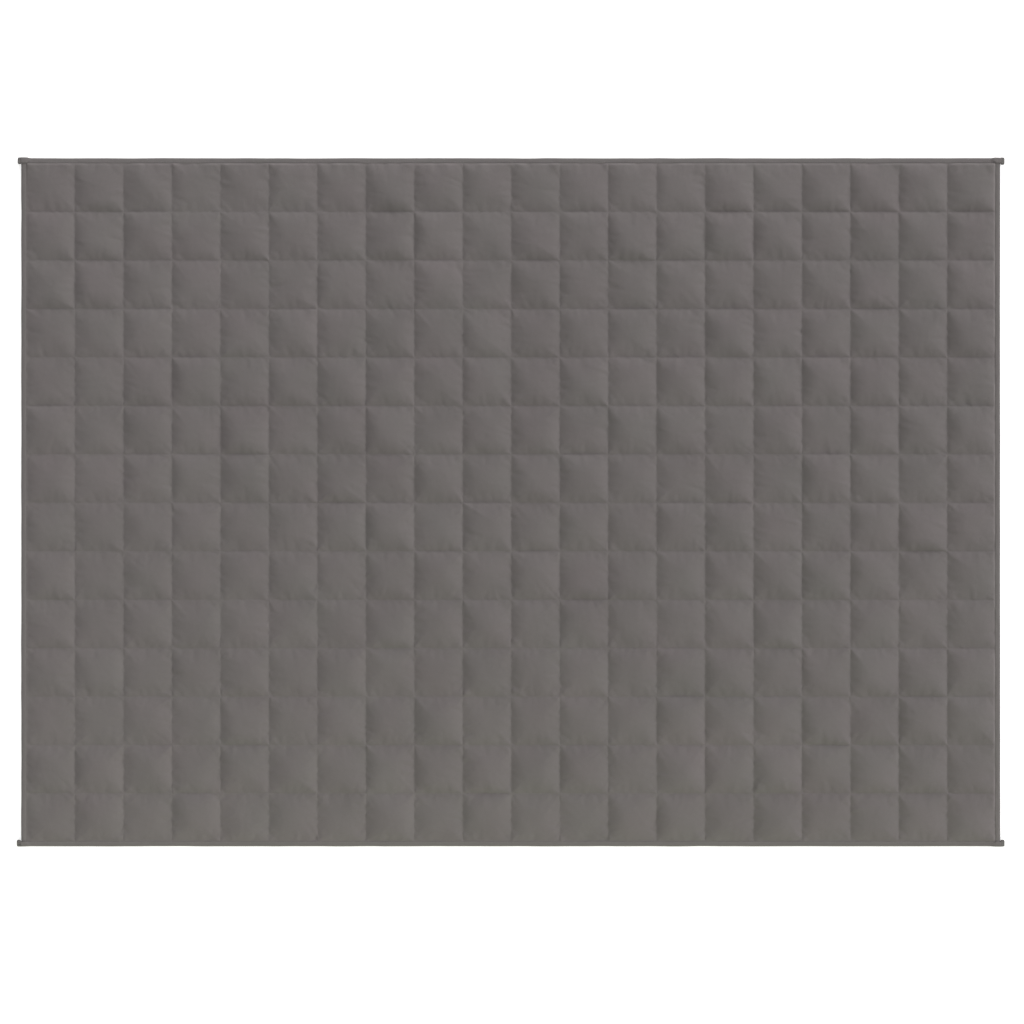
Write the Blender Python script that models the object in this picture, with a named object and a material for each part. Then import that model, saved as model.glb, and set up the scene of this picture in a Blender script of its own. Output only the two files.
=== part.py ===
"""A weighted blanket spread out flat on the floor.

It is one filled panel, quilted in squares, with a folded binding strip sewn round each of its four edges.
The two end bindings go on first. The two side bindings go on last: they wrap over the ends of the end
bindings, and their own turned-in ends stick out past the blanket's corners as short tabs.

X runs along the blanket, Y across it and Z up. The origin is on the floor, under the blanket's middle.
"""

import math
import random

import bmesh
import bpy

# Driving sizes, in metres.
SQUARE = 0.099  # from one line of quilting stitches to the next
COLUMNS = 20  # squares along the length
ROWS = 14  # squares across the width
BINDING_WIDTH = 0.010  # from the blanket's edge in to the binding's stitch line
BINDING_CLOTH = 0.0012  # strip with its raw edge turned under
SEAM_THICKNESS = 0.0024  # both covers and the padding, pressed together by the stitches
FIT_GAP = 0.0003  # between two pieces that touch
CROWN_RISE = 0.0070  # middle of a square above its stitch lines
TAB_LENGTH = 0.008  # turned-in end of a side binding, past the blanket's edge

# Where things lie, worked out from those sizes.
FIELD_X = COLUMNS * SQUARE / 2  # outermost stitch lines
FIELD_Y = ROWS * SQUARE / 2
EDGE_X = FIELD_X + BINDING_WIDTH  # outer edge of the bound blanket
EDGE_Y = FIELD_Y + BINDING_WIDTH
FOLD_DEPTH = 0.0019  # from a binding's outer edge in to the floor of its channel
CUT_MARGIN = FOLD_DEPTH + FIT_GAP  # from the blanket's edge in to the panel's cut edge
SEAM_BOTTOM = BINDING_CLOTH + FIT_GAP  # a seam is held off the floor by the binding under it
SEAM_TOP = SEAM_BOTTOM + SEAM_THICKNESS
BINDING_TOP = SEAM_TOP + FIT_GAP + BINDING_CLOTH
CORNER_LIFT = BINDING_CLOTH + FIT_GAP  # a corner is held up by a second layer of binding

# Rings of points in a square's upper side: how far in from the stitches, and their share of the rise.
TOP_RINGS = (
    {"inset": 0.011, "rise": 0.43},
    {"inset": 0.028, "rise": 0.82},
)
UNDER_INSET = 0.010  # the underside lies flat on the floor from here inwards

# The beads lie a little differently in each square.
UNEVEN_SEED = 14
RISE_SPREAD = 0.13  # share of the rise
SHIFT_SPREAD = 0.007  # of the crown, along X and Y
SETTLED_SHIFT = -0.003  # the beads have slipped towards the front edge

# A binding's round outer edge: how far in from the edge, and how far down from its top or up from its bottom.
ROUND_EDGE = (
    {"in": 0.0016, "off": 0.0},
    {"in": 0.0004, "off": 0.0009},
)
WRAP_START = 0.001  # the side binding is at full height this far before the end binding
WRAP_RUN = 0.007  # length over which it climbs there
TAB_TOP = 0.0056
TAB_ROUNDING = 0.0014

PANEL_COLOUR = (0.135, 0.124, 0.119, 1.0)
BINDING_COLOUR = (0.140, 0.131, 0.127, 1.0)
CLOTH_ROUGHNESS = 0.9
SMOOTH_ANGLE = math.radians(20)


def clear_scene():
    for leftover in list(bpy.data.objects):
        bpy.data.objects.remove(leftover)


def cloth_material(name, colour):
    material = bpy.data.materials.new(name)
    material.use_nodes = True
    shader = material.node_tree.nodes["Principled BSDF"]
    shader.inputs["Base Color"].default_value = colour
    shader.inputs["Roughness"].default_value = CLOTH_ROUGHNESS
    shader.inputs["Metallic"].default_value = 0.0
    material.diffuse_color = colour
    return material


def collection_named(name, helper=False):
    group = bpy.data.collections.new(name)
    group.hide_render = helper
    bpy.context.scene.collection.children.link(group)
    return group


def object_from(bm, name, group, material=None):
    """Puts a bmesh in the scene as a named object, shaded smooth but for its folds."""
    mesh = bpy.data.meshes.new(name)
    bm.to_mesh(mesh)
    bm.free()
    mesh.shade_smooth()
    mesh.set_sharp_from_angle(angle=SMOOTH_ANGLE)
    if material:
        mesh.materials.append(material)
    obj = bpy.data.objects.new(name, mesh)
    group.objects.link(obj)
    return obj


def corner_lift(x, y):
    """How far the corner's extra layer of binding lifts the cloth at (x, y). It fades over one square."""
    from_corner = max(EDGE_X - abs(x), EDGE_Y - abs(y))
    return CORNER_LIFT * min(1.0, max(0.0, 1.0 - (from_corner - BINDING_WIDTH) / SQUARE))


# ---------------------------------------------------------------- quilted panel


def stitch_lines(count):
    """Positions of the stitch lines along one axis, from one side of the field to the other."""
    return [SQUARE * (i - count / 2) for i in range(count + 1)]


X_LINES = [CUT_MARGIN - EDGE_X, *stitch_lines(COLUMNS), EDGE_X - CUT_MARGIN]
Y_LINES = [CUT_MARGIN - EDGE_Y, *stitch_lines(ROWS), EDGE_Y - CUT_MARGIN]


def uneven_squares():
    """For each square, by column and row: its share of the full rise, and its crown's shift."""
    draw = random.Random(UNEVEN_SEED)
    squares = {}
    for column in range(COLUMNS):
        for row in range(ROWS):
            squares[column, row] = {
                "rise": 1.0 + draw.uniform(-RISE_SPREAD, RISE_SPREAD),
                "shift_x": draw.uniform(-SHIFT_SPREAD, SHIFT_SPREAD),
                "shift_y": draw.uniform(-SHIFT_SPREAD, SHIFT_SPREAD) + SETTLED_SHIFT,
            }
    return squares


def square_at(point):
    """Column and row of the square that holds a point."""
    return math.floor(point.x / SQUARE + COLUMNS / 2), math.floor(point.y / SQUARE + ROWS / 2)


def add_cover(bm, height):
    """Adds a cover with points on every stitch line and cut edge, and returns its quilted squares."""
    columns, rows = len(X_LINES) - 1, len(Y_LINES) - 1
    made = bmesh.ops.create_grid(bm, x_segments=columns, y_segments=rows, size=1.0)
    for vert in made["verts"]:
        x = X_LINES[round((vert.co.x + 1) / 2 * columns)]
        y = Y_LINES[round((vert.co.y + 1) / 2 * rows)]
        vert.co = (x, y, height + corner_lift(x, y))
    faces = {face for vert in made["verts"] for face in vert.link_faces}
    quilted = []
    for face in faces:
        middle = face.calc_center_median()
        if abs(middle.x) < FIELD_X and abs(middle.y) < FIELD_Y:
            quilted.append(face)
    return sorted(quilted, key=lambda face: square_at(face.calc_center_median()))


def raise_crown(vert, square, share):
    vert.co.x += square["shift_x"] * share
    vert.co.y += square["shift_y"] * share
    vert.co.z = SEAM_TOP + CROWN_RISE * square["rise"] * share


def puff_up(bm, faces):
    """Gives each square of the upper cover its crown, by rings drawn in from the stitches."""
    squares = uneven_squares()
    drawn_in = 0.0
    for ring in TOP_RINGS:
        bmesh.ops.inset_individual(bm, faces=faces, thickness=ring["inset"] - drawn_in)
        drawn_in = ring["inset"]
        for face in faces:
            square = squares[square_at(face.calc_center_median())]
            for vert in face.verts:
                vert.co.z = SEAM_TOP + CROWN_RISE * square["rise"] * ring["rise"]
    crowns = bmesh.ops.poke(bm, faces=faces)["verts"]
    for crown in crowns:
        square = squares[square_at(crown.co)]
        last_ring = {other for edge in crown.link_edges for other in edge.verts if other is not crown}
        raise_crown(crown, square, 1.0)
        for vert in last_ring:
            raise_crown(vert, square, TOP_RINGS[-1]["rise"])


def press_flat(bm, faces):
    """Presses each square of the lower cover on the floor, but for the flanks that rise to its stitches."""
    bmesh.ops.inset_individual(bm, faces=faces, thickness=UNDER_INSET)
    for face in faces:
        for vert in face.verts:
            vert.co.z = 0.0


def quilted_panel(group, material):
    bm = bmesh.new()
    lower = add_cover(bm, SEAM_BOTTOM)
    upper = add_cover(bm, SEAM_TOP)
    cut_edges = [edge for edge in bm.edges if edge.is_boundary]
    bmesh.ops.bridge_loops(bm, edges=cut_edges)
    bmesh.ops.recalc_face_normals(bm, faces=bm.faces[:])
    press_flat(bm, lower)
    puff_up(bm, upper)
    return object_from(bm, "quilted_panel", group, material)


# ---------------------------------------------------------------- bindings


def half_stations(count):
    """How far from a binding's middle each stitch line is that it crosses, counted outwards."""
    return sorted({abs(position) for position in stitch_lines(count)})


def body_section(low, high, trim=0.0):
    """Outline of a folded strip, as (distance in from its outer edge, height), round on the outer side."""
    far, near = BINDING_WIDTH - trim, trim
    over = [(near + step["in"], high - step["off"]) for step in ROUND_EDGE]
    under = [(near + step["in"], low + step["off"]) for step in reversed(ROUND_EDGE)]
    return [(far, low), (far, high), *over, (near, (low + high) / 2), *under]


def channel_section(low, high):
    """Outline of the space inside the fold, run out past the strip's inner edge so that it cuts clean."""
    beyond = BINDING_WIDTH + TAB_LENGTH
    return [(beyond, low), (beyond, high), (FOLD_DEPTH, high), (FOLD_DEPTH, low)]


def loft(name, group, sections, place, material=None):
    """A closed solid skinned over sections. place turns (position, in from the edge, height) to a point."""
    bm = bmesh.new()
    rings = [[bm.verts.new(place(at, *point)) for point in outline] for at, outline in sections]
    for ring, following in zip(rings, rings[1:]):
        for i, vert in enumerate(ring):
            bm.faces.new((ring[i - 1], vert, following[i], following[i - 1]))
    bm.faces.new(rings[0])
    bm.faces.new(rings[-1])
    bmesh.ops.recalc_face_normals(bm, faces=bm.faces[:])
    return object_from(bm, name, group, material)


def folded_strip(name, group, cutters, material, body, channel, place):
    """One binding: the strip's outer form with the channel for the panel's edge cut out of it."""
    strip = loft(name, group, body, place, material)
    cutter = loft(name + "_channel", cutters, channel, place)
    cutter.hide_render = True
    cutter.display_type = "WIRE"
    cut = strip.modifiers.new("channel", "BOOLEAN")
    cut.operation = "DIFFERENCE"
    cut.solver = "EXACT"
    cut.object = cutter
    return strip


def both_ways(half):
    """Mirrors the sections of one half, listed from the middle outwards, to the whole length."""
    return [(-at, outline) for at, outline in reversed(half) if at > 0] + half


def end_binding(name, group, cutters, material, side):
    """Binding along one end. Near the corners it rises, on to the side binding that wraps it there."""
    body, channel = [], []
    cut_end = EDGE_Y - CUT_MARGIN
    for y in [*half_stations(ROWS), cut_end]:
        lift = corner_lift(EDGE_X, y)
        reach = y if y < cut_end else EDGE_Y  # the channel is open at the strip's two ends
        body.append((y, body_section(lift, BINDING_TOP + lift)))
        channel.append((reach, channel_section(BINDING_CLOTH + lift, BINDING_TOP - BINDING_CLOTH + lift)))

    def place(y, inwards, z):
        return side * (EDGE_X - inwards), y, z

    return folded_strip(name, group, cutters, material, both_ways(body), both_ways(channel), place)


def side_binding(name, group, cutters, material, side):
    """Binding along one side. It wraps over the end bindings, and its turned-in ends stick out as tabs."""
    body, channel = [], []

    def add_station(x, top):
        body.append((x, body_section(0.0, top)))
        channel.append((x, channel_section(BINDING_CLOTH, top - BINDING_CLOTH)))

    wrap_top = BINDING_TOP + CORNER_LIFT + BINDING_CLOTH + FIT_GAP
    wrap_x = FIELD_X - WRAP_START
    climb_x = wrap_x - WRAP_RUN
    for x in [*half_stations(COLUMNS)[:-1], climb_x]:
        add_station(x, BINDING_TOP + corner_lift(x, EDGE_Y))
    add_station(wrap_x, wrap_top)
    add_station(EDGE_X + FIT_GAP, wrap_top)

    tab_end = EDGE_X + TAB_LENGTH
    body.append((tab_end - TAB_ROUNDING, body_section(0.0, TAB_TOP)))
    body.append((tab_end, body_section(TAB_ROUNDING, TAB_TOP - TAB_ROUNDING / 2, trim=TAB_ROUNDING / 2)))

    def place(x, inwards, z):
        return x, side * (EDGE_Y - inwards), z

    return folded_strip(name, group, cutters, material, both_ways(body), both_ways(channel), place)


def build():
    clear_scene()
    blanket = collection_named("weighted_blanket")
    cutters = collection_named("cutters", helper=True)
    cover = cloth_material("cover_cloth", PANEL_COLOUR)
    trim = cloth_material("binding_cloth", BINDING_COLOUR)
    quilted_panel(blanket, cover)
    end_binding("end_binding_left", blanket, cutters, trim, side=-1)
    end_binding("end_binding_right", blanket, cutters, trim, side=1)
    side_binding("side_binding_front", blanket, cutters, trim, side=-1)
    side_binding("side_binding_back", blanket, cutters, trim, side=1)


build()
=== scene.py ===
"""The looks of a weighted blanket that lies spread out flat: its quilted cloth, bindings, stitches and light.

X runs along the blanket, Y across it and Z up. Everything is in metres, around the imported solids.
"""

import math

import bpy
import numpy as np
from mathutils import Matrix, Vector


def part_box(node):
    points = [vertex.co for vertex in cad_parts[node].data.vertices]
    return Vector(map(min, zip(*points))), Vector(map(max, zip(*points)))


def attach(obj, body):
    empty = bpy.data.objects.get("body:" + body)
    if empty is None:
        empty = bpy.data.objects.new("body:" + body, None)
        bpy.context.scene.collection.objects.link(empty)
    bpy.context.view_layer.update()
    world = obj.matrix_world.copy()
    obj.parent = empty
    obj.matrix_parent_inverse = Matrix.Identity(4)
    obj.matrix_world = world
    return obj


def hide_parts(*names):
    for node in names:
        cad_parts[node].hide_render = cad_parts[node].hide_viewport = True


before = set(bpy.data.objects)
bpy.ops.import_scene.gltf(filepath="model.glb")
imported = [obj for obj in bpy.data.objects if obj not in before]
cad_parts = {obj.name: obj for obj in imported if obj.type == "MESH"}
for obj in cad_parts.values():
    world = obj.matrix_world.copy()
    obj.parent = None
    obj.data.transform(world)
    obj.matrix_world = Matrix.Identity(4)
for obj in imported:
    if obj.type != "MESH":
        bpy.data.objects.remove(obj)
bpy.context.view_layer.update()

# Quilting, as in the solids.
SQUARE = 0.099  # from one stitch line to the next
COLUMNS = 20
ROWS = 14
SEAM_BOTTOM = 0.0015  # underside of the pressed seam, above the floor
SEAM_TOP = 0.0039
BINDING_TOP = 0.0054
BINDING_CLOTH = 0.0012
BINDING_WIDTH = 0.010
FOLD_DEPTH = 0.0019  # from a binding's outer edge in to the floor of its channel
CORNER_LIFT = 0.0015  # one more layer of binding lies under each corner

FIELD_X = COLUMNS * SQUARE / 2  # outermost stitch lines
FIELD_Y = ROWS * SQUARE / 2
CUT_X, CUT_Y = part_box("quilted_panel")[1][:2]  # the panel's cut edges, inside the bindings
EDGE_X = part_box("end_binding_right")[1][0]
TAB_X, EDGE_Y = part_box("side_binding_back")[1][:2]

# Points across a square of the upper cover: close together at the stitches, then even.
NEAR_STITCHES = (0.0, 0.0013, 0.0032, 0.0058)
EVEN_STEPS = 24
UNDER_STEP = 2  # the lower cover keeps every second line

# Fill: how a square crowns.
CROWN_RISE = 0.0084
RISE_SPREAD = 0.26
RISE_SLANT = (0.13, 0.05)  # the fill is this much higher a metre along X and Y
FLANK = 2.3  # how steep a crown is at its stitches, 2 for a round one
FULLNESS = 1.6  # more fills the corners
CROWN_AT = (0.46, 0.47)  # the crown's place in its square, along X and Y
CROWN_SPREAD = (0.09, 0.17)
LUMP_HEIGHT = 0.00034  # of the beads, in the longest of the waves that make them up
LUMP_WAVES = 4
VALLEY = 0.0009  # how softly two squares meet in a stitch line
STITCH_PULL = 0.0002  # the thread pulls the cloth down by this much more
PULL_REACH = 0.0020
SEAM_WAVES = 0.0022  # how unevenly the seams lie, at their crossings
UNDER_SHARE = 0.6  # of it that their underside shares
DRAWN = (0.0009, -0.0015)  # how far the cloth is drawn along X and Y, between the outermost stitch lines
DRAWN_POWER = 8  # it fades out only near those
UNDER_REACH = 0.012  # the lower cover rises from the floor this near a stitch line
UNDER_PUCKER = 0.4  # by how much of itself that reach differs from place to place
# How far the outermost squares stand up beside the bindings.
EDGE_ROLLS = {"left": 0.0, "right": 0.0016, "front": 0.0003, "back": 0.0019}
ROLL_REACH = 0.0019
ROLL_FADE = 0.035
ROLL_UNEVEN = 2.2  # by how much of itself it differs along an edge
ROLL_STRETCH = 2  # how much longer its differences are than others
UNEVEN_FADE = 0.015
EDGE_THICKER = 0.00073  # the panel inside the bindings, against its other seams
PANEL_PARTS = 4

# The mix of waves behind small differences from place to place.
UNEVEN_WAVES = 6
UNEVEN_LENGTHS = (0.012, 0.030)
UNEVEN_STARTS = (0, 6.28)  # radians into its turn
UNEVEN_SEED = 8

# Sample squares of loose cloth, for the puckers.
SAMPLE_COLUMNS = 7
SAMPLE_ROWS = 5
EASE = 0.010  # the cloth is cut larger than its stitch lines by this share
START_RISE = 0.002  # of the cloth before it settles, and its roughness
START_ROUGHNESS = 0.0004
START_SEED = 5
SETTLING_FRAMES = 14
CREASE_SHARE = 0.55

# Gathers, the short puckers that stand square to a stitch line.
GATHERS_A_SIDE = 6
GATHER_RISES = (0.00033, 0.00048, 0.00026, 0.00048)  # along the front, right, back and left of a square
GATHER_WIDTH = (0.0022, 0.0056)
GATHER_REACH = (0.0040, 0.0130)
GATHER_SLANT = 0.35
GATHER_MARGIN = 0.1  # of the room for each, kept free at both its ends
CORNER_GATHERS = 2  # in each corner, along its diagonal
CORNER_GATHER_RISE = 0.00032
CORNER_GATHER_WAYS = (0.5, 1.07)  # radians from the square's side
CORNER_GATHER_REACH = 1.4  # against the others

# Sewing thread.
STITCHES_A_SIDE = 25  # along one side of a square
STITCH_LENGTH = 0.0031
THREAD = 0.00045
THREAD_TOP = 0.7  # the middle of a stitch stands up by this share of it
STITCH_TURN = 0.04  # radians that they lie askew by
EDGE_STITCH = 0.0033  # along the bindings
STITCH_IN = 0.0018  # the bindings' stitch line, from their inner edge
STITCH_PROUD = 0.00005  # how far the middle of a stitch on them lies over the cloth
STITCH_UNDER = 0.00025  # above their underside
STITCH_MARGINS = (0.003, 0.002)  # kept free at both ends of their stitch lines
TACKS = 13  # stitches across each tab
TACK_ROWS = (0.42, 0.66)  # their places along it, by turns
TACK_SIZE = (0.75, 1.5, 1.5)  # against the other stitches
TACK_MARGIN = 0.0024

STRIP_STEP = 0.004  # between two stations of a binding
CORNER_STEP = 0.0015  # and in the last of it
CORNER_ZONE = 0.024
END_BULGE = 0.0002
EDGE_DRIFT = 0.00015  # how unevenly its outer edge runs
STRIP_PUCKER = 0.00013
PUCKER_AT = 0.0035  # beside its stitches, from its inner edge
PUCKER_WIDTH = 0.002
DRIFT_STATIONS = 6  # its edge, puckers and swellings are alike over this many stations
PUCKER_STATIONS = 1
SWELL_STATIONS = 3
WRAP_TOP = 0.0084  # a side binding's top where it wraps over an end binding
WRAP_REACH = 0.012  # it starts to climb this far before the end binding
LIP_REACH = 0.004  # and its inner lip here
LIP_START = 0.0045  # from its outer edge
OVER_POINTS = 10  # of a binding's section, on its upper side
INSIDE_POINTS = 5  # and in its channel
ROOF_POINTS = 3  # the last of these, on the channel's roof

# The turned-in ends of the side bindings. Each row: out from the corner, top and width, as in a pattern.
TAB_START = 0.0003  # past the corner
TAB_FORM = (
    (0.0006, 0.0082, 0.2),
    (0.0014, 0.0081, 0.8),
    (0.0024, 0.0080, 1.0),
    (0.0040, 0.0079, 1.0),
    (0.0080, 0.0078, 0.9),
)
TAB_ROUND = 0.0023  # radius of their rounded ends
TAB_ROUND_STEPS = 8
TAB_ROUND_SHARE = 0.93  # of the quarter turn, and the closing face is the rest
TAB_PLUMP = 0.0007  # how far their inner side bulges
TAB_CREASE = 0.0007
TAB_CREASE_AT = 0.0040
TAB_CREASE_WIDTH = 0.0012
TAB_SWELL_WIDTH = 0.006  # their outward swelling, in from the edge
TAB_SWELL_REACH = 0.010  # and along it, before the corner
# By side (-1 front) and end (-1 left): a tab's length, and how far the bulk of the cloth swells it
# outwards and inwards.
TABS = {
    (1, -1): (0.0068, 0.0016, 0.0016),
    (1, 1): (0.0085, 0.0014, 0.0027),
    (-1, -1): (0.0087, 0.0002, 0.0030),
    (-1, 1): (0.0087, 0.0005, 0.0030),
}

SEED = 20
RNG = np.random.default_rng(SEED)


# ---------------------------------------------------------------- mesh helpers


def piece_from(name, points, faces, finish, cloth=None):
    """A smooth mesh piece. cloth holds the place on the flat cut of each point, or of each face's corner."""
    mesh = bpy.data.meshes.new(name)
    mesh.from_pydata(np.asarray(points).tolist(), [], faces)
    mesh.shade_smooth()
    if cloth is not None:
        of_each = "POINT" if len(cloth) == len(points) else "CORNER"
        layer = mesh.attributes.new("cloth", "FLOAT_VECTOR", of_each)
        layer.data.foreach_set("vector", np.asarray(cloth, np.float32).ravel())
    mesh.materials.append(finish)
    piece = bpy.data.objects.new(name, mesh)
    bpy.context.scene.collection.objects.link(piece)
    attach(piece, "root")
    return piece


def smooth_step(value):
    value = np.clip(value, 0.0, 1.0)
    return value * value * (3 - 2 * value)


def corner_lift(x, y):
    """How far a corner's extra layer of binding lifts the cloth at (x, y). It fades over one square."""
    from_corner = np.maximum(EDGE_X - np.abs(x), EDGE_Y - np.abs(y))
    return CORNER_LIFT * np.clip(1.0 - (from_corner - BINDING_WIDTH) / SQUARE, 0.0, 1.0)


# ---------------------------------------------------------------- quilted panel


def square_lines():
    """Places of the mesh lines across one square."""
    near = np.array(NEAR_STITCHES)
    even = np.linspace(near[-1], SQUARE - near[-1], EVEN_STEPS + 1)
    return np.concatenate([near[:-1], even, SQUARE - near[-2::-1]])


LINES = square_lines()
STEPS = len(LINES) - 1


def grid_faces(columns, rows):
    """Quads of a grid whose points run along X first, all facing up."""
    at = np.arange((columns + 1) * (rows + 1)).reshape(rows + 1, columns + 1)
    return np.stack([at[:-1, :-1], at[:-1, 1:], at[1:, 1:], at[1:, :-1]], axis=-1).reshape(-1, 4)


def lines_over(count):
    """Mesh lines over a number of squares side by side, from 0."""
    starts = [LINES[:-1] + SQUARE * i for i in range(count)]
    return np.concatenate([*starts, [SQUARE * count]])


def loose_squares():
    """Lets sample squares of cover cloth, cut a little too large, settle between their stitch lines.

    Returns how the cloth of each puckers away from their common form: square, Y line, X line, XYZ.
    """
    across, up = lines_over(SAMPLE_COLUMNS), lines_over(SAMPLE_ROWS)
    x, y = np.meshgrid(across, up)
    stitched = (np.arange(len(across)) % STEPS == 0)[None, :] | (np.arange(len(up)) % STEPS == 0)[:, None]
    start = np.random.default_rng(START_SEED).normal(0.0, START_ROUGHNESS, x.shape)
    start[1:-1, 1:-1] = (start[:-2, 1:-1] + start[2:, 1:-1] + start[1:-1, :-2] + start[1:-1, 2:]) / 4
    rise = np.sin(np.pi * x / SQUARE) * np.sin(np.pi * y / SQUARE)
    z = np.where(stitched, 0.0, START_RISE * np.abs(rise) + start)

    mesh = bpy.data.meshes.new("sample_cloth")
    points = np.stack([x, y, z], -1).reshape(-1, 3)
    mesh.from_pydata(points.tolist(), [], grid_faces(len(across) - 1, len(up) - 1).tolist())
    sample = bpy.data.objects.new("sample_cloth", mesh)
    bpy.context.scene.collection.objects.link(sample)
    held = sample.vertex_groups.new(name="stitched")
    held.add(np.flatnonzero(stitched).tolist(), 1.0, "REPLACE")

    cloth = sample.modifiers.new("settle", "CLOTH")
    settings = cloth.settings
    settings.vertex_group_mass = held.name
    settings.quality = 4
    settings.mass = 0.3
    settings.shear_stiffness = 5
    settings.bending_model = "ANGULAR"
    settings.bending_stiffness = 2.0
    settings.shear_damping = 5
    settings.shrink_min = -EASE
    settings.use_pressure = True
    settings.uniform_pressure_force = 2.0
    settings.effector_weights.gravity = 0.0
    cloth.collision_settings.use_collision = False
    cloth.point_cache.frame_start = 1
    cloth.point_cache.frame_end = SETTLING_FRAMES

    scene = bpy.context.scene
    for moment in range(1, SETTLING_FRAMES + 1):
        scene.frame_set(moment)
    settled = sample.evaluated_get(bpy.context.evaluated_depsgraph_get()).data
    points = np.empty(len(settled.vertices) * 3, np.float32)
    settled.vertices.foreach_get("co", points)
    moved = points.reshape(*x.shape, 3) - np.stack([x, y, np.zeros_like(x)], -1)
    bpy.data.objects.remove(sample)
    bpy.data.meshes.remove(mesh)
    scene.frame_set(1)

    squares = []
    for row in range(SAMPLE_ROWS):
        for column in range(SAMPLE_COLUMNS):
            part = moved[row * STEPS : (row + 1) * STEPS + 1, column * STEPS : (column + 1) * STEPS + 1]
            squares.append(part)
    common = np.mean([turned(square, way) for square in squares for way in range(8)], axis=0)
    return np.stack(squares) - common


def turned(cloth, way):
    """The same square of cloth lying another way round. There are 8 ways."""
    if way & 1:
        cloth = cloth[:, ::-1] * (-1, 1, 1)
    if way & 2:
        cloth = cloth[::-1] * (1, -1, 1)
    if way & 4:
        cloth = cloth.swapaxes(0, 1)[..., [1, 0, 2]]
    return cloth


def filled_square(column, row):
    """Height of one filled square over its lines, with its own crown and lumps of beads."""
    share = LINES / SQUARE
    crown = np.array(CROWN_AT) + RNG.uniform(-1, 1, 2) * CROWN_SPREAD
    off = [np.where(share < c, (share - c) / c, (share - c) / (1 - c)) for c in crown]
    full_x, full_y = np.meshgrid(*(np.maximum(1 - np.abs(part) ** FLANK, 1e-6) for part in off))
    place = ((column + 0.5) * SQUARE - FIELD_X, (row + 0.5) * SQUARE - FIELD_Y)
    rise = CROWN_RISE * (1 + RNG.uniform(-RISE_SPREAD, RISE_SPREAD) + np.dot(RISE_SLANT, place))
    height = rise * (full_x**-FULLNESS + full_y**-FULLNESS - 1) ** (-1 / FULLNESS)
    counts = np.arange(1, LUMP_WAVES + 1)
    waves = np.sin(np.pi * np.outer(counts, share))
    lumps = RNG.normal(0.0, LUMP_HEIGHT, (LUMP_WAVES, LUMP_WAVES))
    lumps = lumps / np.hypot(counts[:, None], counts[None, :])
    height = np.hypot(height, VALLEY) - VALLEY + waves.T @ lumps @ waves
    for turn, gather_rise in enumerate(GATHER_RISES):
        height = height + np.rot90(gathers(gather_rise) + corner_gathers(), -turn)
    return height


def gathers(rise):
    """Short puckers along the first line of a square, standing square to it."""
    along, away = np.meshgrid(LINES, LINES)
    height = np.zeros_like(along)
    for place in range(GATHERS_A_SIDE):
        middle = (place + RNG.uniform(GATHER_MARGIN, 1 - GATHER_MARGIN)) / GATHERS_A_SIDE * SQUARE
        width, reach = RNG.uniform(*GATHER_WIDTH), RNG.uniform(*GATHER_REACH)
        aside = along - middle - RNG.uniform(-GATHER_SLANT, GATHER_SLANT) * away
        fade = away / reach * np.exp(1 - away / reach)
        height += RNG.normal(0.0, rise) * np.exp(-((aside / width) ** 2)) * fade
    return height * np.sin(np.pi * np.clip(along / SQUARE, 0, 1)) ** 0.5


def corner_gathers():
    """Puckers that run out of a square's first corner, near its diagonal."""
    along, away = np.meshgrid(LINES, LINES)
    height = np.zeros_like(along)
    for _ in range(CORNER_GATHERS):
        way = RNG.uniform(*CORNER_GATHER_WAYS)
        out = along * np.cos(way) + away * np.sin(way)
        aside = away * np.cos(way) - along * np.sin(way)
        width, reach = RNG.uniform(*GATHER_WIDTH), CORNER_GATHER_REACH * RNG.uniform(*GATHER_REACH)
        fade = out / reach * np.exp(1 - out / reach)
        height += RNG.normal(0.0, CORNER_GATHER_RISE) * np.exp(-((aside / width) ** 2)) * fade
    return height


def squares_of_cloth():
    """How the upper cover of each square, by column and row, stands off the flat seam level."""
    samples = loose_squares()
    order = RNG.permutation(COLUMNS * ROWS)
    squares = {}
    for place, pick in enumerate(order):
        sample, way = pick % len(samples), pick // len(samples)
        column, row = place % COLUMNS, place // COLUMNS
        cloth = turned(samples[sample], way) * CREASE_SHARE
        squares[column, row] = cloth + filled_square(column, row)[..., None] * (0, 0, 1)
    return squares


def panel_lines(count, cut, field):
    """The panel's mesh lines along one axis, between its cut edges, and which the lower cover keeps."""
    lines = np.concatenate([[-cut], lines_over(count) - field, [cut]])
    kept = np.arange(-1, len(lines) - 1) % UNDER_STEP == 0
    kept[[0, -1]] = True
    return lines, kept


def from_stitches(places, field):
    """Distance of each place to the nearest stitch line, and 0 past the outermost one."""
    inside = np.abs(places) < field
    return np.where(inside, np.abs((places + field + SQUARE / 2) % SQUARE - SQUARE / 2), 0.0)


def walls(top, under, kept_x, kept_y):
    """Faces round the rim of a panel part, from the upper cover's many points to the lower one's few."""
    faces = []
    for upper, lower, kept, turn in (
        (top[0], under[0], kept_x, False),
        (top[-1], under[-1], kept_x, True),
        (top[:, 0], under[:, 0], kept_y, True),
        (top[:, -1], under[:, -1], kept_y, False),
    ):
        stops = np.flatnonzero(kept)
        for i, (start, stop) in enumerate(zip(stops, stops[1:])):
            face = [lower[i], lower[i + 1], *upper[start : stop + 1][::-1]]
            faces.append([int(point) for point in (face[::-1] if turn else face)])
    return faces


def drawn(points):
    """The same points with the quilting drawn a little aside, all but the outermost stitch lines."""
    points = points.copy()
    for axis, (field, by) in enumerate(zip((FIELD_X, FIELD_Y), DRAWN)):
        points[..., axis] += by * (1 - np.minimum(np.abs(points[..., axis]) / field, 1.0) ** DRAWN_POWER)
    return points


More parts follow.
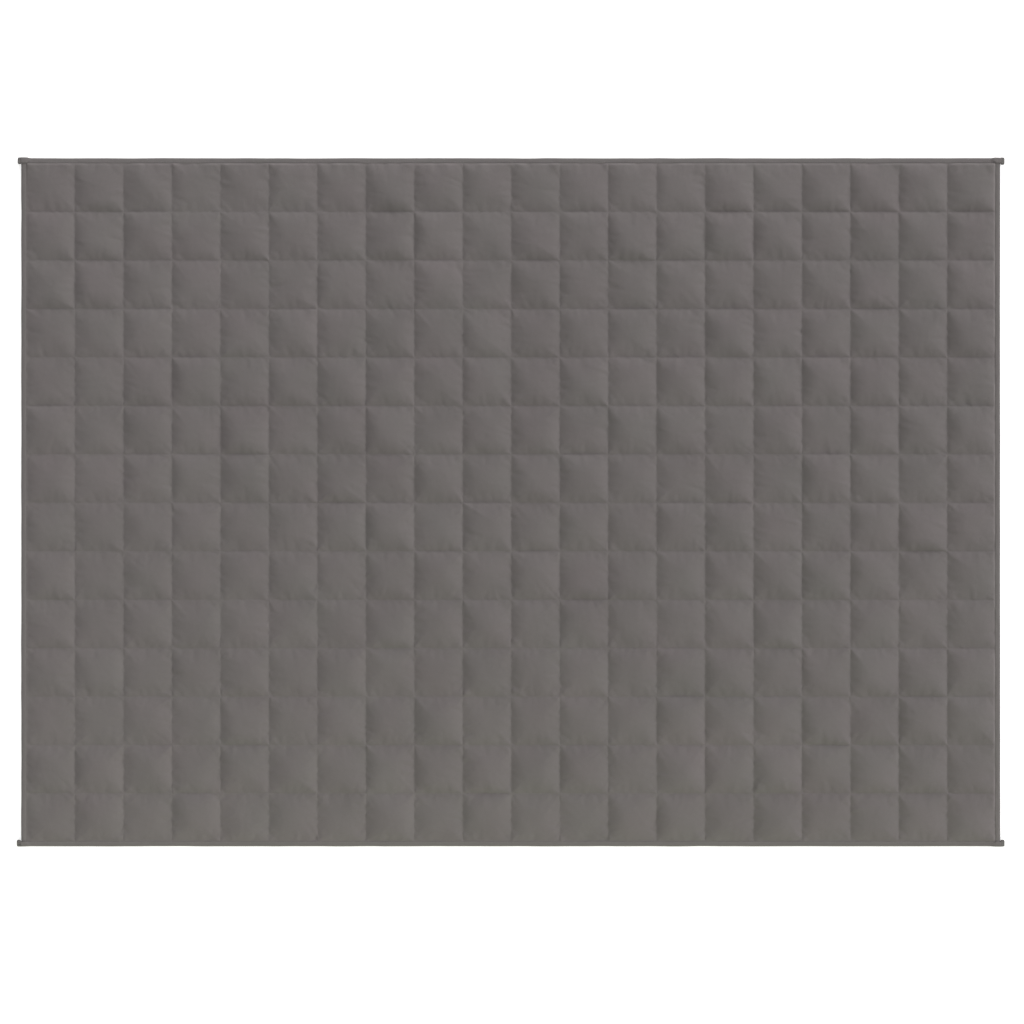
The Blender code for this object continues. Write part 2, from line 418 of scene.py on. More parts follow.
def seam_waves():
    """How far each crossing of the seams lies above its level, by row and column of crossings."""
    heights = RNG.uniform(-SEAM_WAVES, SEAM_WAVES, (ROWS + 1, COLUMNS + 1))
    heights[[0, -1]] = 0.0
    heights[:, [0, -1]] = 0.0
    return heights


def wave_at(waves, x, y):
    """The seams' waves, smoothly between their crossings."""
    column = np.clip((x + FIELD_X) / SQUARE, 0.0, COLUMNS)
    row = np.clip((y + FIELD_Y) / SQUARE, 0.0, ROWS)
    i = np.minimum(column.astype(int), COLUMNS - 1)
    j = np.minimum(row.astype(int), ROWS - 1)
    u, v = smooth_step(column - i), smooth_step(row - j)
    front = waves[j, i] * (1 - u) + waves[j, i + 1] * u
    back = waves[j + 1, i] * (1 - u) + waves[j + 1, i + 1] * u
    return front * (1 - v) + back * v


def seam_level(waves, x, y):
    """Height of the seams, and of the upper cover before it is filled."""
    return SEAM_TOP + corner_lift(x, y) + wave_at(waves, x, y)


def under_level(waves, x, y):
    """Height of the seams' underside."""
    return SEAM_BOTTOM + corner_lift(x, y) + UNDER_SHARE * wave_at(waves, x, y)


def uneven(x, y):
    """A seeded mix of slanting waves, within -1 to 1, for small differences from place to place."""
    mix = np.random.default_rng(UNEVEN_SEED)
    total = np.zeros_like(x)
    for _ in range(UNEVEN_WAVES):
        way = mix.uniform(0, np.pi)
        length = mix.uniform(*UNEVEN_LENGTHS)
        turns = (x * np.cos(way) + y * np.sin(way)) / length
        total += np.sin(2 * np.pi * turns + mix.uniform(*UNEVEN_STARTS))
    return total / UNEVEN_WAVES


def edge_roll(x, y):
    """How the outermost squares stand up beside the bindings, where the panel is a little thicker too."""
    inwards = {"left": FIELD_X + x, "right": FIELD_X - x, "front": FIELD_Y + y, "back": FIELD_Y - y}
    raised, free = 0.0, 1.0
    for side, away in inwards.items():
        away = np.maximum(away, 0.0)
        along = x if side in ("front", "back") else y
        free = free * (1 - np.exp(-((away / ROLL_REACH) ** 2)))
        differs = ROLL_UNEVEN * uneven(along / ROLL_STRETCH, 0 * along) * np.exp(-away / UNEVEN_FADE)
        raised = raised + EDGE_ROLLS[side] * np.maximum(0.0, 1 + differs) * np.exp(-away / ROLL_FADE)
    covered = (np.abs(x) > FIELD_X + 1e-6) | (np.abs(y) > FIELD_Y + 1e-6)
    return raised * free + EDGE_THICKER * (1 - free) * ~covered


def upper_cover(x, y, squares, waves):
    """Points of the upper cover, by Y line and X line."""
    away_x = from_stitches(x[0], FIELD_X)
    away_y = from_stitches(y[:, 0], FIELD_Y)
    near = np.minimum(*np.meshgrid(away_x, away_y))
    inside = np.ones(STEPS + 1)
    inside[[0, -1]] = 0.0
    inside = np.outer(inside, inside)[..., None]
    points = np.stack([x, y, seam_level(waves, x, y) + edge_roll(x, y)], -1)
    points[..., 2] += STITCH_PULL * (1 - np.exp(-((near / PULL_REACH) ** 2)))
    for (column, row), cloth in squares.items():
        i, j = 1 + column * STEPS, 1 + row * STEPS
        points[j : j + STEPS + 1, i : i + STEPS + 1] += cloth * inside
    return drawn(points)


def lower_cover(x, y, waves):
    """Points of the lower cover: flat on the floor, and raised along the stitch lines."""
    away_x = from_stitches(x[0], FIELD_X)
    away_y = from_stitches(y[:, 0], FIELD_Y)
    near = np.minimum(*np.meshgrid(away_x, away_y))
    reach = UNDER_REACH * (1 + UNDER_PUCKER * uneven(x, y))
    flank = 1 - smooth_step(near / reach)
    return drawn(np.stack([x, y, under_level(waves, x, y) * flank], -1))


def normals_of(points):
    normal = np.cross(np.gradient(points, axis=1), np.gradient(points, axis=0))
    return normal / np.linalg.norm(normal, axis=-1, keepdims=True)


def quilted_panel(finish, waves):
    """The panel in closed parts, split at stitch lines. They keep the whole's normals, so no split shows."""
    xs, kept_x = panel_lines(COLUMNS, CUT_X, FIELD_X)
    ys, kept_y = panel_lines(ROWS, CUT_Y, FIELD_Y)
    x, y = np.meshgrid(xs, ys)
    upper = upper_cover(x, y, squares_of_cloth(), waves)
    lower = lower_cover(x[kept_y][:, kept_x], y[kept_y][:, kept_x], waves)
    upper_normals, lower_normals = normals_of(upper), -normals_of(lower)
    flat = np.stack([x, y, 0 * x], -1)
    for part in range(PANEL_PARTS):
        first = part * COLUMNS // PANEL_PARTS * STEPS + (part > 0)
        last = (part + 1) * COLUMNS // PANEL_PARTS * STEPS + 1 + (part == PANEL_PARTS - 1)
        over = slice(first, last + 1)
        kept = kept_x[over]
        below = slice(int(kept_x[:first].sum()), int(kept_x[: last + 1].sum()))
        top = np.arange(upper[:, over, 0].size).reshape(upper[:, over, 0].shape)
        under = top.size + np.arange(lower[:, below, 0].size).reshape(lower[:, below, 0].shape)
        faces = grid_faces(top.shape[1] - 1, top.shape[0] - 1).tolist()
        faces += (grid_faces(under.shape[1] - 1, under.shape[0] - 1)[:, ::-1] + top.size).tolist()
        faces += walls(top, under, kept, kept_y)
        points = np.concatenate([upper[:, over].reshape(-1, 3), lower[:, below].reshape(-1, 3)])
        cut = np.concatenate([flat[:, over].reshape(-1, 3), flat[kept_y][:, over][:, kept].reshape(-1, 3)])
        piece = piece_from(f"quilted_panel_{part + 1}", points, faces, finish, cut)
        shading = [upper_normals[:, over].reshape(-1, 3), lower_normals[:, below].reshape(-1, 3)]
        piece.data.normals_split_custom_set_from_vertices(np.concatenate(shading).tolist())
        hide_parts("quilted_panel")


# ---------------------------------------------------------------- bindings


def strip_section(low, high):
    """A folded strip's outline from its upper lip round, as rows of (in from its outer edge, height)."""
    mid = (low + high) / 2
    w = BINDING_WIDTH
    over = [
        (w, high - 0.0006),
        (w - 0.0001, high - 0.00048),
        (w - 0.0003, high - 0.0004),
        (w - STITCH_IN, high - 0.00035),
        (w - 0.0028, high - 0.0003),
        (0.0055, high - 0.0003),
        (0.0034, high - 0.00045),
        (0.0018, high - 0.0008),
        (0.0008, high - 0.0014),
        (0.0002, high - 0.0023),
    ]
    under = [
        (0.0002, low + 0.0015),
        (0.0009, low + 0.0006),
        (0.0020, low + 0.0001),
        (0.0050, low),
        (w - 0.0028, low),
        (w - STITCH_IN, low + 0.0002),
        (w, low + 0.0003),
    ]
    inside = [
        (w, low + BINDING_CLOTH),
        (FOLD_DEPTH, low + BINDING_CLOTH),
        (FOLD_DEPTH, high - BINDING_CLOTH),
        (w - 0.0024, high - 0.0007),
        (w, high - 0.00072),
    ]
    return np.array([*over, (0.0, mid), *under, *inside])


def loft(name, stations, place, finish):
    """A closed strip skinned over its stations, each a place along it and a section. Its ends bulge."""
    count = len(stations[0][1])
    points, runs = [], []
    for at, section in stations:
        points += [place(at, *point) for point in section]
        around = np.cumsum([0.0, *np.hypot(*(np.roll(section, -1, axis=0) - section).T)])
        runs.append(around - around[OVER_POINTS])
    faces, cloth = [], []
    for s in range(len(stations) - 1):
        near, far = stations[s][0], stations[s + 1][0]
        for i in range(count):
            j = (i + 1) % count
            faces.append([s * count + i, s * count + j, (s + 1) * count + j, (s + 1) * count + i])
            here, there = runs[s], runs[s + 1]
            corners = ((near, here[i]), (near, here[i + 1]), (far, there[i + 1]), (far, there[i]))
            cloth.append([(*corner, 0.0) for corner in corners])
    for (at, section), first, way in ((stations[0], 0, -1), (stations[-1], (len(stations) - 1) * count, 1)):
        middle = section.mean(axis=0)
        points.append(place(at + way * END_BULGE, *middle))
        for i in range(count):
            pair = (i, (i + 1) % count)[::way]
            faces.append([len(points) - 1, *(first + k for k in pair)])
            cloth.append([(at + way * inwards, z, 0.0) for inwards, z in (middle, *section[list(pair)])])
    # The faces turn outwards, whichever way the strip is placed.
    a, b, c = (np.array(points[i]) for i in (0, 4, OVER_POINTS))
    if np.dot(np.cross(b - a, c - a), np.array(points[count]) - a) < 0:
        faces, cloth = ([corners[::-1] for corners in ring] for ring in (faces, cloth))
    return piece_from(name, points, faces, finish, [corner for face in cloth for corner in face])


def places_along(end):
    """Places of a strip's stations from -end to end, closer together near the corners."""
    near = np.arange(CORNER_ZONE, 0.0, -CORNER_STEP)
    middle = end - CORNER_ZONE - STRIP_STEP
    even = np.linspace(-middle, middle, round(2 * middle / STRIP_STEP) + 1)
    return np.concatenate([-end + near[::-1] - near[-1], even, end - near + near[-1]])


def drift(count, reach, spread):
    """Smooth seeded differences along a strip: count values, alike over reach stations."""
    margin = 3 * reach
    raw = RNG.normal(0.0, 1.0, count + 2 * margin)
    weights = np.exp(-((np.arange(-margin, margin + 1) / reach) ** 2))
    smooth = np.convolve(raw, weights, "same")[margin : margin + count]
    return spread * smooth / smooth.std()


def sewn_strip(places, profile):
    """Stations of a binding: profile(place) gives its low and high, and sewing makes it uneven."""
    count = len(places)
    edge = drift(count, DRIFT_STATIONS, EDGE_DRIFT)
    pucker = drift(count, PUCKER_STATIONS, STRIP_PUCKER)
    swell = drift(count, SWELL_STATIONS, STRIP_PUCKER)
    stations = []
    for i, place in enumerate(places):
        section = strip_section(*profile(place))
        top = slice(0, OVER_POINTS)
        beside_stitches = np.exp(-(((section[top, 0] - BINDING_WIDTH + PUCKER_AT) / PUCKER_WIDTH) ** 2))
        crown = np.sin(np.pi * section[top, 0] / BINDING_WIDTH)
        section[top, 1] += pucker[i] * beside_stitches + swell[i] * crown
        outer = np.clip(1 - section[:, 0] / FOLD_DEPTH, 0, 1)
        section[:, 0] -= edge[i] * outer
        stations.append((place, section))
    return stations


def top_of(strip, at, inwards):
    """Height of a strip's upper side at places along it, this far in from its outer edge."""
    upper = [section[OVER_POINTS - 1 :: -1] for _, section in strip]
    heights = [np.interp(inwards, section[:, 0], section[:, 1]) for section in upper]
    return np.interp(at, [place for place, _ in strip], heights)


def end_binding(node, side, finish):
    """A folded strip along an end. Returns its stations."""
    places = places_along(CUT_Y)

    def profile(y):
        lift = float(corner_lift(EDGE_X, y))
        return lift, BINDING_TOP + lift

    def place(y, inwards, z):
        return side * (EDGE_X - inwards), y, z

    stations = sewn_strip(places, profile)
    piece = loft(node + "_cloth", stations, place, finish)
    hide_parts(node)
    return stations


def tab(direction, length, bulge, flare):
    """Stations of a side binding's turned-in end, which sticks out past the corner."""
    outs, tops, widths = np.array(TAB_FORM).T
    round_end = np.linspace(0.0, TAB_ROUND_SHARE, TAB_ROUND_STEPS) * np.pi / 2
    places = np.concatenate([outs[:-1], outs[-1] - TAB_ROUND * (1 - np.sin(round_end))])
    trims = np.concatenate([0 * outs[:-1], TAB_ROUND * (1 - np.cos(round_end))])
    stations = []
    for out, trim in zip(places, trims):
        top, wide = np.interp(out, outs, tops), np.interp(out, outs, widths)
        section = strip_section(0.0, BINDING_TOP)
        # A tab has no channel: the points of it make its plump inner side.
        up = np.linspace(0.0, 1.0, INSIDE_POINTS + 2)[1:-1, None]
        level = section[-INSIDE_POINTS - 1] * (1 - up) + section[0] * up
        section[-INSIDE_POINTS:] = level + np.sin(np.pi * up) * (TAB_PLUMP, 0.0)
        crease = np.exp(-(((section[:OVER_POINTS, 0] - TAB_CREASE_AT) / TAB_CREASE_WIDTH) ** 2))
        section[:OVER_POINTS, 1] -= TAB_CREASE * crease * wide
        span = BINDING_WIDTH + flare * wide + bulge - 2 * trim
        section[:, 0] = section[:, 0] / BINDING_WIDTH * span + trim - bulge
        section[:, 1] = section[:, 1] / BINDING_TOP * (top - 2 * trim) + trim
        stations.append((direction * (EDGE_X + TAB_START + out / outs[-1] * (length - TAB_START)), section))
    return stations


def side_binding(node, side, finish):
    """A folded strip along a side, which wraps over the end bindings. Returns its stations."""
    places = places_along(EDGE_X + TAB_START)

    def climb(x, reach):
        """How far the strip has climbed at x, when it starts to this far before the corner."""
        share = smooth_step((abs(x) - (FIELD_X - reach)) / reach)
        return float(share * (WRAP_TOP - BINDING_TOP - corner_lift(x, EDGE_Y)))

    def profile(x):
        return 0.0, BINDING_TOP + float(corner_lift(x, EDGE_Y)) + climb(x, WRAP_REACH)

    stations = sewn_strip(places, profile)
    tabs = {way: TABS[side, way] for way in (-1, 1)}
    for x, section in stations:
        bulge = tabs[1 if x > 0 else -1][1]
        outer = np.clip(1 - section[:, 0] / TAB_SWELL_WIDTH, 0, 1)
        near_corner = smooth_step((abs(x) - (FIELD_X - TAB_SWELL_REACH)) / TAB_SWELL_REACH)
        section[:, 0] -= bulge * outer * near_corner
        upper = np.concatenate([np.arange(OVER_POINTS), np.arange(-ROOF_POINTS, 0)])
        inner = smooth_step((section[upper, 0] - LIP_START) / (BINDING_WIDTH - LIP_START))
        section[upper, 1] -= inner * (climb(x, WRAP_REACH) - climb(x, LIP_REACH))
    stations = tab(-1, *tabs[-1])[::-1] + stations + tab(1, *tabs[1])

    def place(x, inwards, z):
        return x, side * (EDGE_Y - inwards), z

    piece = loft(node + "_cloth", stations, place, finish)
    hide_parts(node)
    return stations


# ---------------------------------------------------------------- stitches


def stitch_form():
    """One stitch along X, thickest in the middle, with its ends sunk in the cloth."""
    half, out, top = STITCH_LENGTH / 2, THREAD / 2, THREAD * THREAD_TOP
    points = [(-half, 0, -out), (half, 0, -out), (0, -out, 0), (0, out, 0), (0, 0, top)]
    faces = [(0, 2, 4), (0, 4, 3), (1, 4, 2), (1, 3, 4), (0, 3, 2), (1, 2, 3)]
    return np.array(points), np.array(faces)


def sewn(name, places, along_y, finish, downwards=False, size=(1, 1, 1)):
    """Joined stitches at places, each with the slope along it. along_y says which of them run along Y."""
    form, faces = stitch_form()
    form = form * size * ((1, -1, -1) if downwards else (1, 1, 1))
    turn = RNG.normal(0.0, STITCH_TURN, len(places)) + np.where(along_y, np.pi / 2, 0.0)
    c, s = np.cos(turn)[:, None], np.sin(turn)[:, None]
    x = form[None, :, 0] * c - form[None, :, 1] * s
    y = form[None, :, 0] * s + form[None, :, 1] * c
    z = form[None, :, 2] + form[None, :, 0] * places[:, 3, None]
    points = np.stack([x, y, z], -1) + places[:, None, :3]
    joined = faces[None] + len(form) * np.arange(len(places))[:, None, None]
    points = points.reshape(-1, 3)
    cloth = np.tile(form, (len(places), 1))
    piece = piece_from(name, points, joined.reshape(-1, 3).tolist(), finish, cloth)
    return piece


def quilting_places():
    """Middles of the quilting stitches on every inner stitch line, and which run along Y."""
    step = SQUARE / STITCHES_A_SIDE
    places, along_y = [], []
    axes = ((ROWS, COLUMNS, FIELD_Y, FIELD_X), (COLUMNS, ROWS, FIELD_X, FIELD_Y))
    for count, others, field, other_field in axes:
        along = (np.arange(count * STITCHES_A_SIDE) + 0.5) * step - field
        for line in range(1, others):
            across = np.full_like(along, line * SQUARE - other_field)
            places.append(np.stack([across, along] if count == ROWS else [along, across], -1))
            along_y.append(np.full(len(along), count == ROWS))
    return np.concatenate(places), np.concatenate(along_y)


def on_seams(level, waves, flat, along_y):
    """Places of stitches on the quilted seams: level gives the height of the cloth they lie on."""
    half = np.where(along_y[:, None], (0, 1), (1, 0)) * STITCH_LENGTH / 2
    ahead, behind = (level(waves, *(flat + way * half).T) for way in (1, -1))
    return drawn(np.column_stack([flat, (ahead + behind) / 2, (ahead - behind) / STITCH_LENGTH]))


def on_strip(strip, at, inwards):
    """Heights of stitches on a strip's upper side, and how they slope along it."""
    ahead, behind = (top_of(strip, at + way * STITCH_LENGTH / 2, inwards) for way in (1, -1))
    return (ahead + behind) / 2 + STITCH_PROUD, (ahead - behind) / STITCH_LENGTH


def edge_places(ends, sides):
    """Places of the stitches that hold the bindings, on top, and which run along Y."""
    inwards = BINDING_WIDTH - STITCH_IN
    first, last = STITCH_MARGINS
    x, y = (np.arange(-field + first, field - last, EDGE_STITCH) for field in (FIELD_X, FIELD_Y))
    places, along_y = [], []
    for side in (-1, 1):
        line = np.full_like(x, side * (EDGE_Y - inwards))
        places.append(np.column_stack([x, line, *on_strip(sides[side], x, inwards)]))
        line = np.full_like(y, side * (EDGE_X - inwards))
        places.append(np.column_stack([line, y, *on_strip(ends[side], y, inwards)]))
        along_y += [np.zeros(len(x), bool), np.ones(len(y), bool)]
    return np.concatenate(places), np.concatenate(along_y)


def tack_places(sides):
    """Places of the tacking stitches, to and fro across the four tabs."""
    places = []
    for (side, way), (length, bulge, flare) in TABS.items():
        for inwards in np.linspace(TACK_MARGIN - bulge, BINDING_WIDTH + flare - TACK_MARGIN, TACKS):
            x = way * (EDGE_X + length * TACK_ROWS[len(places) % 2])
            height, slope = on_strip(sides[side], x, inwards)
            places.append((x, side * (EDGE_Y - inwards), float(height), float(slope)))
    return np.array(places), np.zeros(len(places), bool)


def stitches(finish, tack_finish, waves, ends, sides):
    flat, along_y = quilting_places()
    upper, under = (on_seams(level, waves, flat, along_y) for level in (seam_level, under_level))
    sewn("quilting_stitches_upper", upper, along_y, finish)
    sewn("quilting_stitches_under", under, along_y, finish, downwards=True)
    edge, edge_way = edge_places(ends, sides)
    sewn("edge_stitches_upper", edge, edge_way, finish)
    low = corner_lift(*edge[:, :2].T) * edge_way + STITCH_UNDER
    below = np.column_stack([edge[:, :2], low, 0 * low])
    sewn("edge_stitches_under", below, edge_way, finish, downwards=True)
    sewn("tacking_stitches", *tack_places(sides), tack_finish, size=TACK_SIZE)


# ---------------------------------------------------------------- finishes


class Wire:
    """One output of a finish's nodes. Sums and products with it add Math nodes."""

    def __init__(self, tree, socket):
        self.tree = tree
        self.socket = socket

    def node(self, kind, settings=(), sockets=(), output=0):
        """Adds a node: its type, its settings, then the values or wires of its sockets."""
        node = self.tree.nodes.new("ShaderNode" + kind)
        for name, value in dict(settings).items():
            setattr(node, name, value)
        for name, value in dict(sockets).items():
            if isinstance(value, Wire):
                self.tree.links.new(value.socket, node.inputs[name])
            else:
                node.inputs[name].default_value = value
        return Wire(self.tree, node.outputs[output])

    def math(self, operation, *others):
        return self.node("Math", {"operation": operation}, enumerate([self, *others]))

    def __add__(self, other):
        return self.math("ADD", other)

    __radd__ = __add__

    def __mul__(self, other):
        return self.math("MULTIPLY", other)

    def __sub__(self, other):
        return self.math("SUBTRACT", other)

    def __rsub__(self, other):
        return self.math("MULTIPLY", -1.0) + other

    def __abs__(self):
        return self.math("ABSOLUTE")

    def sine(self):
        return self.math("SINE")

    def clamped(self):
        return self.node("Math", {"operation": "ADD", "use_clamp": True}, {0: self, 1: 0.0})

    def into(self, shader, name):
        self.tree.links.new(self.socket, shader.inputs[name])

    def axes(self):
        """The X and Y of a vector."""
        return [self.node("SeparateXYZ", sockets={"Vector": self}, output=i) for i in range(2)]


SPECULAR = 0.25
SHEEN_ROUGHNESS = 0.6


def new_finish(name, sheen):
    """An empty cloth material, its shader, and a wire to build on."""
    material = bpy.data.materials.new(name)
    material.use_nodes = True
    tree = material.node_tree
    shader = tree.nodes["Principled BSDF"]
    shader.inputs["Specular IOR Level"].default_value = SPECULAR
    shader.inputs["Sheen Weight"].default_value = sheen
    shader.inputs["Sheen Roughness"].default_value = SHEEN_ROUGHNESS
    return material, shader, Wire(tree, None)


CLOTH_SHEEN = 0.06
YARN = 0.00042  # from one yarn to the next
SLUB_LENGTH = 0.020
# What makes up the cloth's shade: noise, as (scale, detail, share), slubs, weave and the rest.
MOTTLES = ((7.0, 1.0, 0.15), (30.0, 2.0, 0.05), (900.0, 1.0, 0.10))
SLUB_SHADE = 0.08
WEAVE_SHADE = 0.05
PLAIN_SHADE = 0.755
DYES = ((1.02, 0.99, 1.01), (0.98, 1.01, 0.99))  # how the dye varies from place to place
DYE_SCALE = 9.0
# Lighter lines, worn ones and painted highlights: the cloth's axis across them, their place on it, width and
# strength.
# Painted highlights: the cover is painted lighter where it bends up beside the right and back bindings, the
# sides that face the lamps.
COVER_PAINTED_HIGHLIGHTS = (
    (0, FIELD_X - 0.0031, 0.0021, 0.20),  # the upward bend beside the right binding
    (1, FIELD_Y - 0.0031, 0.0021, 0.20),  # and beside the back one
)
BINDING_WEAR_AND_PAINTED_LIGHT = (
    # On the bindings the outer fold is worn lighter, and the inner lip is painted lighter: painted light
    # against the shade that the cover's raised edge throws beside it.
    (1, 0.0, 0.0022, 0.08),  # the outer fold
    (1, -0.0098, 0.0018, 0.06),  # the inner lip
)
WEAR_AND_PAINTED_LIGHT_SCALE = 70.0
TAB_DARKER = 0.16  # the turned-in ends are darker by this share
TAB_FADE = 0.002  # over this length
ROUGHNESS = (0.84, 0.12)  # at least, and how much it varies
ROUGHNESS_SCALE = 60.0
CREASE_SCALE = 110.0
CREASE_DETAIL = 3.0
WEAVE_HEIGHT = 0.00004
SLUB_HEIGHT = 0.00003


def wear_and_painted_light_line(across, place, width):
    """1 on a line of the cloth, at a place on the axis across it, fading to both sides over this width."""
    away = across - place
    return (away * away * (-1 / width**2)).math("EXPONENT")


def cloth_finish(name, colour, crinkle, wear_and_painted_lights):
    """Plain-woven cloth: uneven yarns over and under, drifting dye, soft creases, worn lines and painted
    highlights.
    """
    material, shader, start = new_finish(name, CLOTH_SHEEN)
    place = start.node("Attribute", {"attribute_name": "cloth"}, output=1)

    def stretched(across, along):
        scale = (1 / across, 1 / along, 1.0)
        return place.node("VectorMath", {"operation": "MULTIPLY"}, {0: place, 1: scale})

    def noise(where, scale=1.0, detail=2.0):
        sockets = {"Vector": where, "Scale": scale, "Detail": detail}
        return place.node("TexNoise", {"noise_dimensions": "2D"}, sockets)

    x, y = stretched(YARN, YARN).axes()
    warp, weft = (x * math.pi).sine(), (y * math.pi).sine()
    over = warp * weft
    slubs = noise(stretched(YARN * 2, SLUB_LENGTH)) * abs(warp)
    slubs = slubs + noise(stretched(SLUB_LENGTH, YARN * 2)) * abs(weft)
    weave = (abs(warp) * (1 + over) + abs(weft) * (1 - over)) * 0.5

    shade = sum(noise(place, scale, detail) * share for scale, detail, share in MOTTLES)
    shade = shade + slubs * SLUB_SHADE + weave * WEAVE_SHADE + PLAIN_SHADE
    axes = place.axes()
    # Lighter lines: worn at the bindings' outer folds, painted highlights on the cover beside the right and
    # back bindings, and painted light at the bindings' inner lips.
    wear_and_painted_light = sum(wear_and_painted_light_line(axes[across], at, width) * strength for across, at, width, strength in wear_and_painted_lights)
    shade = shade + wear_and_painted_light * noise(place, WEAR_AND_PAINTED_LIGHT_SCALE)
    turned_in = (abs(axes[0]) * (1 / TAB_FADE) - EDGE_X / TAB_FADE).clamped()
    shade = shade * (1 - turned_in * TAB_DARKER)
    warm, cool = ([part * change for part, change in zip(colour, dye)] for dye in DYES)
    drift_of_dye = {0: noise(place, DYE_SCALE, 1.0), 6: (*warm, 1.0), 7: (*cool, 1.0)}
    dyed = start.node("Mix", {"data_type": "RGBA"}, drift_of_dye, 2)
    base = start.node("Mix", {"data_type": "RGBA", "blend_type": "MULTIPLY"}, {0: 1.0, 6: dyed, 7: shade}, 2)
    base.into(shader, "Base Color")
    least, more = ROUGHNESS
    (noise(place, ROUGHNESS_SCALE) * more + least).into(shader, "Roughness")

    creases = noise(place, CREASE_SCALE, CREASE_DETAIL) * crinkle
    height = weave * WEAVE_HEIGHT + slubs * SLUB_HEIGHT + creases
    bump = height.node("Bump", {}, {"Height": height, "Distance": 1.0, "Strength": 1.0})
    bump.into(shader, "Normal")
    return material


THREAD_SHEEN = 0.05
THREAD_ROUGHNESS = 0.6
TWIST = 0.0005  # from one turn of the thread to the next
TWIST_HEIGHT = 0.00004


def thread_finish(name, colour):
    material, shader, start = new_finish(name, THREAD_SHEEN)
    shader.inputs["Roughness"].default_value = THREAD_ROUGHNESS
    x, y = start.node("Attribute", {"attribute_name": "cloth"}, output=1).axes()
    twist = ((x + y) * (2 * math.pi / TWIST)).sine()
    shader.inputs["Base Color"].default_value = (*colour, 1.0)
    bump = twist.node("Bump", {}, {"Height": twist, "Distance": TWIST_HEIGHT, "Strength": 1.0})
    bump.into(shader, "Normal")
    return material


COVER_COLOUR = (0.1233, 0.1108, 0.1101)
BINDING_COLOUR = (0.1250, 0.1142, 0.1130)
THREAD_COLOUR = (0.200, 0.187, 0.181)
TACK_COLOUR = (0.30, 0.32, 0.30)
COVER_CRINKLE = 0.00025
BINDING_CRINKLE = 0.0002


# ---------------------------------------------------------------- light and camera


FLOOR_REACH = 40.0
FLOOR_DROP = 0.0003  # just under the blanket
FLOOR_SHADE = 0.90
FLOOR_GLOW = 0.45


def floor():
    mesh = bpy.data.meshes.new("floor")
    corners = ((-1, -1), (1, -1), (1, 1), (-1, 1))
    points = [(x * FLOOR_REACH, y * FLOOR_REACH, -FLOOR_DROP) for x, y in corners]
    mesh.from_pydata(points, [], [(0, 1, 2, 3)])
    material = bpy.data.materials.new("floor")
    material.use_nodes = True
    shader = material.node_tree.nodes["Principled BSDF"]
    shader.inputs["Base Color"].default_value = (FLOOR_SHADE, FLOOR_SHADE, FLOOR_SHADE, 1.0)
    shader.inputs["Emission Color"].default_value = (1.0, 1.0, 1.0, 1.0)
    shader.inputs["Emission Strength"].default_value = FLOOR_GLOW
    shader.inputs["Roughness"].default_value = 0.9
    shader.inputs["Specular IOR Level"].default_value = 0.1
    mesh.materials.append(material)
    made = bpy.data.objects.new("floor", mesh)
    bpy.context.scene.collection.objects.link(made)


WORLD_LIGHT = 0.538
SUN_WIDTH = 30  # degrees
LAMP_AT = 4  # how far out a sun is drawn
SUNS = (  # name, the direction it comes from (round from X, up), strength
    ("key", 20, 25, 2.68),
    ("side", 90, 25, 0.52),
)
PANELS = (  # name, place, size, power, colour; all face the blanket's middle
    ("back_panel", (0.0, 1.7, 0.4), (2.6, 0.4), 7.6, (1.0, 1.0, 1.0)),
    ("front_panel", (0.0, -2.0, 0.6), (2.6, 0.5), 18.3, (0.90, 1.0, 0.70)),
    ("right_panel", (2.0, 0.0, 0.7), (1.8, 0.6), 3.6, (1.0, 1.0, 1.0)),
    ("left_panel", (-2.0, 0.0, 0.7), (1.8, 0.6), 3.6, (1.0, 1.0, 1.0)),
)


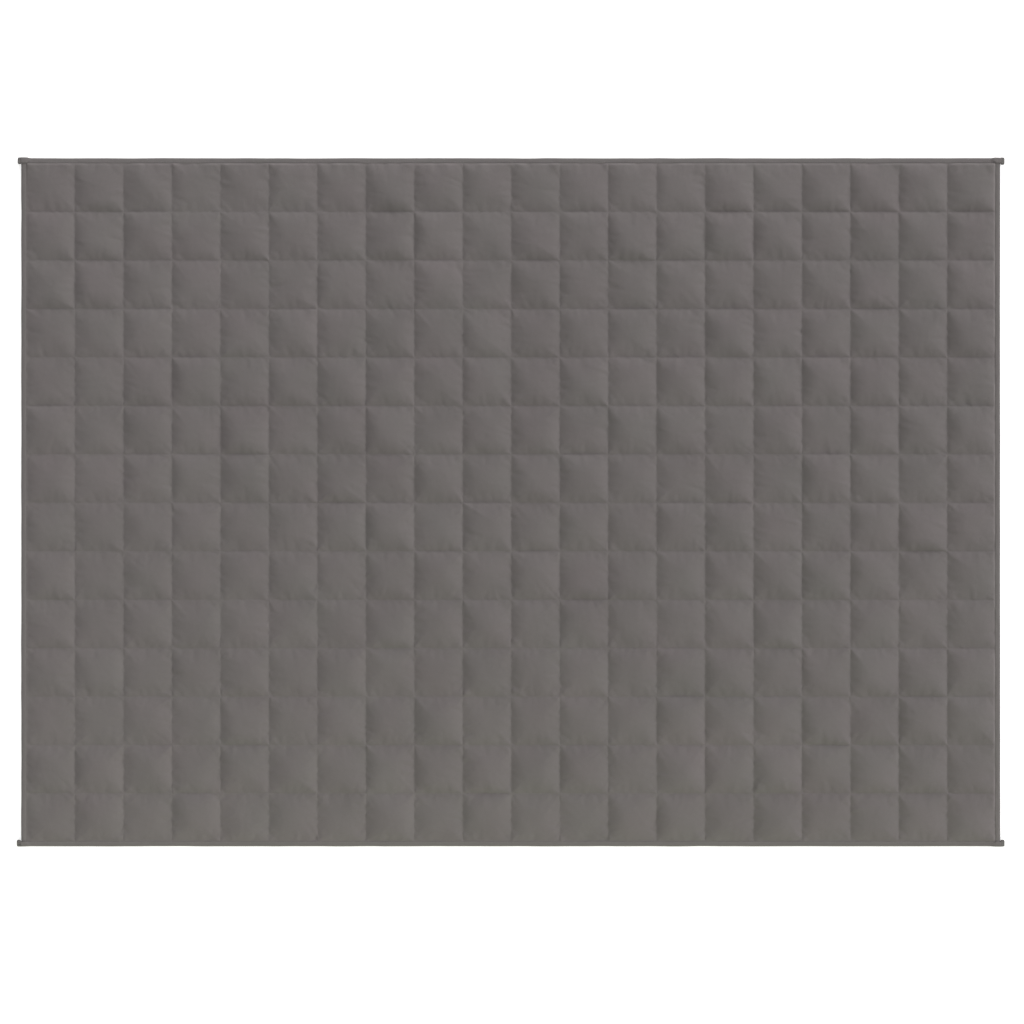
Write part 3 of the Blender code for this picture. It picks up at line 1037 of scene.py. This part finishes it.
def lights():
    world = bpy.data.worlds.new("studio")
    bpy.context.scene.world = world
    world.use_nodes = True
    background = world.node_tree.nodes["Background"]
    background.inputs["Color"].default_value = (1.0, 1.0, 1.0, 1.0)
    background.inputs["Strength"].default_value = WORLD_LIGHT

    def lamp(name, kind, place, **settings):
        data = bpy.data.lights.new(name, kind)
        for key, value in settings.items():
            setattr(data, key, value)
        made = bpy.data.objects.new(name, data)
        made.location = place
        made.rotation_euler = Vector(place).to_track_quat("Z", "Y").to_euler()
        made.visible_camera = False
        bpy.context.scene.collection.objects.link(made)

    for name, azimuth, height, power in SUNS:
        azimuth, height = math.radians(azimuth), math.radians(height)
        way = (math.cos(azimuth) * math.cos(height), math.sin(azimuth) * math.cos(height), math.sin(height))
        lamp(name, "SUN", [LAMP_AT * part for part in way], energy=power, angle=math.radians(SUN_WIDTH))
    for name, place, size, power, tint in PANELS:
        lamp(name, "AREA", place, energy=power, color=tint, shape="RECTANGLE", size=size[0], size_y=size[1])


SEEN_WIDTH = 2.0920  # across the picture
SEEN_AT = 0.003  # at this height
LENS = 100.0
SENSOR = 36.0
AIM = (0.0026, -0.0199)


def camera():
    data = bpy.data.cameras.new("camera")
    data.lens = LENS
    data.sensor_width = SENSOR
    made = bpy.data.objects.new("camera", data)
    made.location = (*AIM, SEEN_WIDTH * LENS / SENSOR + SEEN_AT)
    bpy.context.scene.collection.objects.link(made)
    bpy.context.scene.camera = made
    bpy.context.scene.view_settings.view_transform = "Standard"


camera()
lights()
floor()
cover = cloth_finish("cover_cloth_finish", COVER_COLOUR, COVER_CRINKLE, COVER_PAINTED_HIGHLIGHTS)
trim = cloth_finish("binding_cloth_finish", BINDING_COLOUR, BINDING_CRINKLE, BINDING_WEAR_AND_PAINTED_LIGHT)
thread = thread_finish("thread_finish", THREAD_COLOUR)
tacking = thread_finish("tacking_thread_finish", TACK_COLOUR)
waves = seam_waves()
quilted_panel(cover, waves)
ends = {
    -1: end_binding("end_binding_left", -1, trim),
    1: end_binding("end_binding_right", 1, trim),
}
sides = {
    -1: side_binding("side_binding_front", -1, trim),
    1: side_binding("side_binding_back", 1, trim),
}
stitches(thread, tacking, waves, ends, sides)
